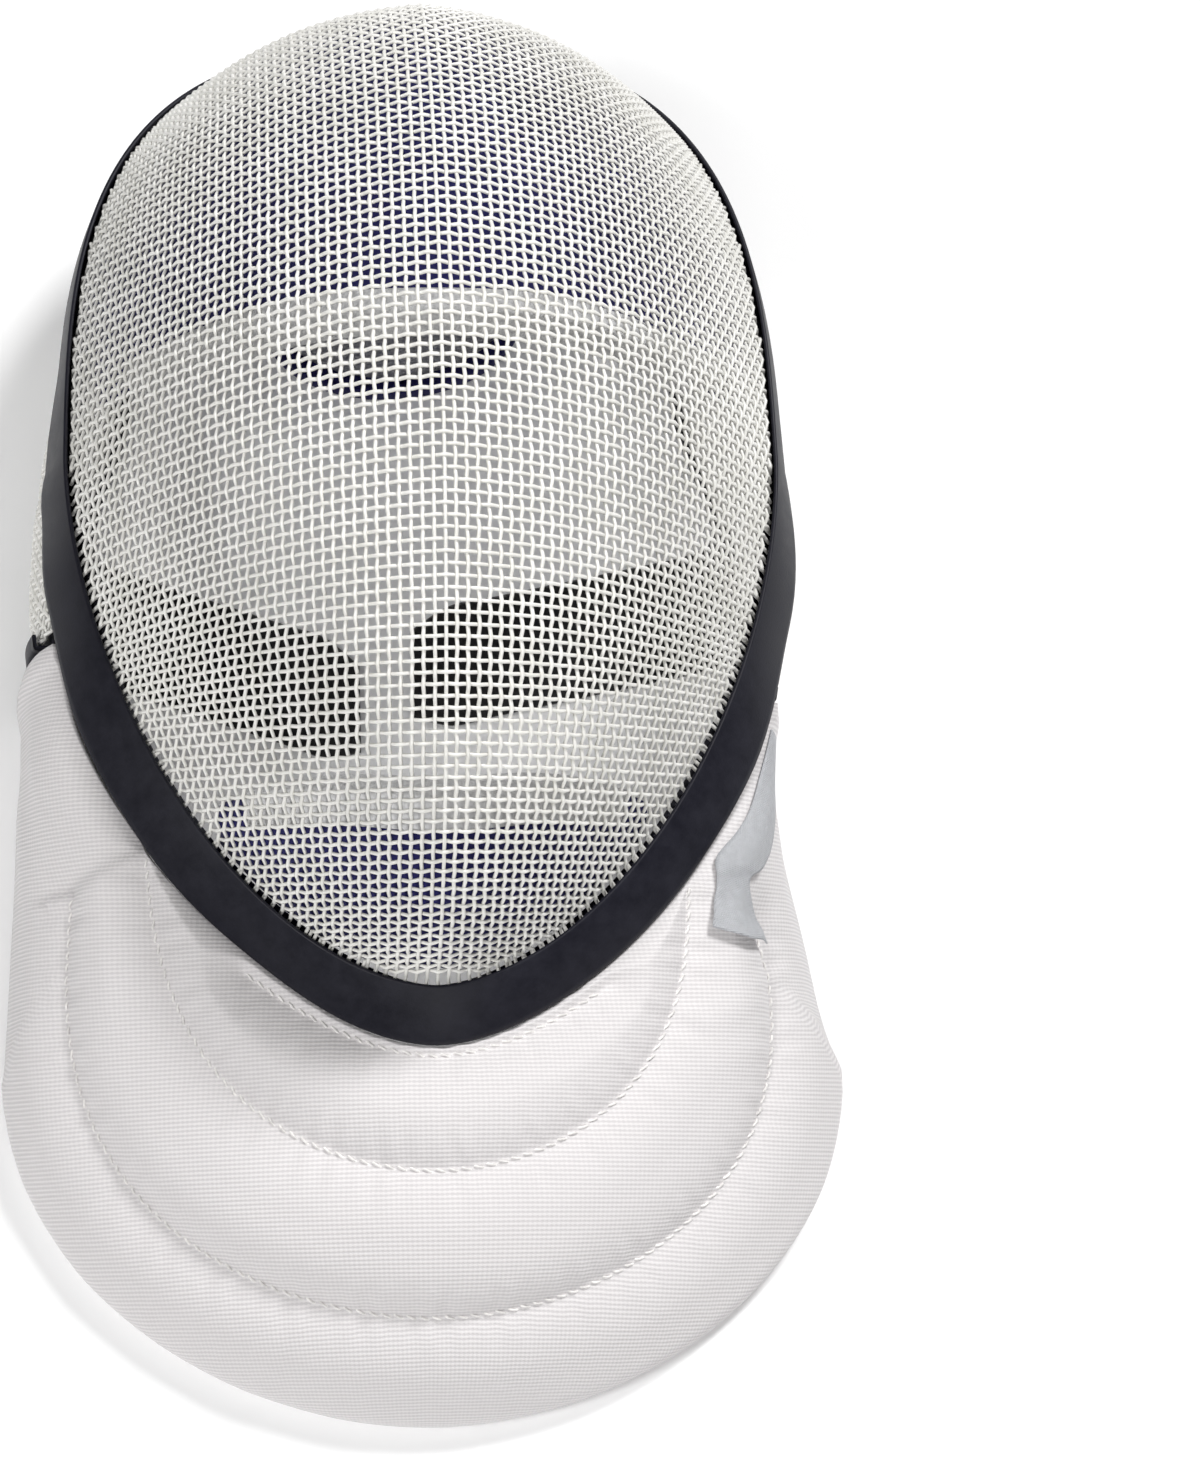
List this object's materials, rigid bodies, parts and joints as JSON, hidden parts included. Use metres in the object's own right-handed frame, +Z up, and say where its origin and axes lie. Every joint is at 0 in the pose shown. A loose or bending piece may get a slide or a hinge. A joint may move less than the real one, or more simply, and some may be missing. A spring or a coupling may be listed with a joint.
{
  "type": "fencing mask",
  "caption": "Fencing mask lying face up: a creased woven wire bowl in a dark channel trim, with side mesh plates, inner pads, back tongue, straps and a white quilted bib.",
  "frame": {"origin": "on the table, under the middle of the whole mask's box as it lies face up", "axes": "+Y from the chin to the crown, +Z up from the table through the face mesh, X across with X = 0 close to the plane of symmetry"},
  "size_m": [0.2282, 0.3968, 0.1855],
  "materials": {
    "mesh_enamel": "satin off-white enamel on woven steel wire",
    "trim_rubber": "satin charcoal navy channel trim",
    "knit_white": "matt white knit, quilted",
    "pad_navy": "brushed navy cloth",
    "tape_grey": "woven light grey tape",
    "tongue_grey": "woven grey cloth over a sprung panel",
    "strap_black": "brushed black elastic webbing",
    "label_tape": "bare grey satin tape"
  },
  "bodies": {
    "root": {"front_mesh": "mesh_enamel", "front_trim": "trim_rubber", "side_mesh_left": "mesh_enamel", "side_mesh_right": "mesh_enamel", "side_edging_left": "trim_rubber", "side_edging_right": "trim_rubber", "strap_left": "strap_black", "strap_right": "strap_black", "crown_pad": "pad_navy", "crown_binding": "tape_grey", "chin_pad": "pad_navy", "chin_binding": "tape_grey", "tongue_panel": "tongue_grey", "tongue_rim": "pad_navy", "bib": "knit_white", "label": "label_tape"}
  },
  "joints": []
}
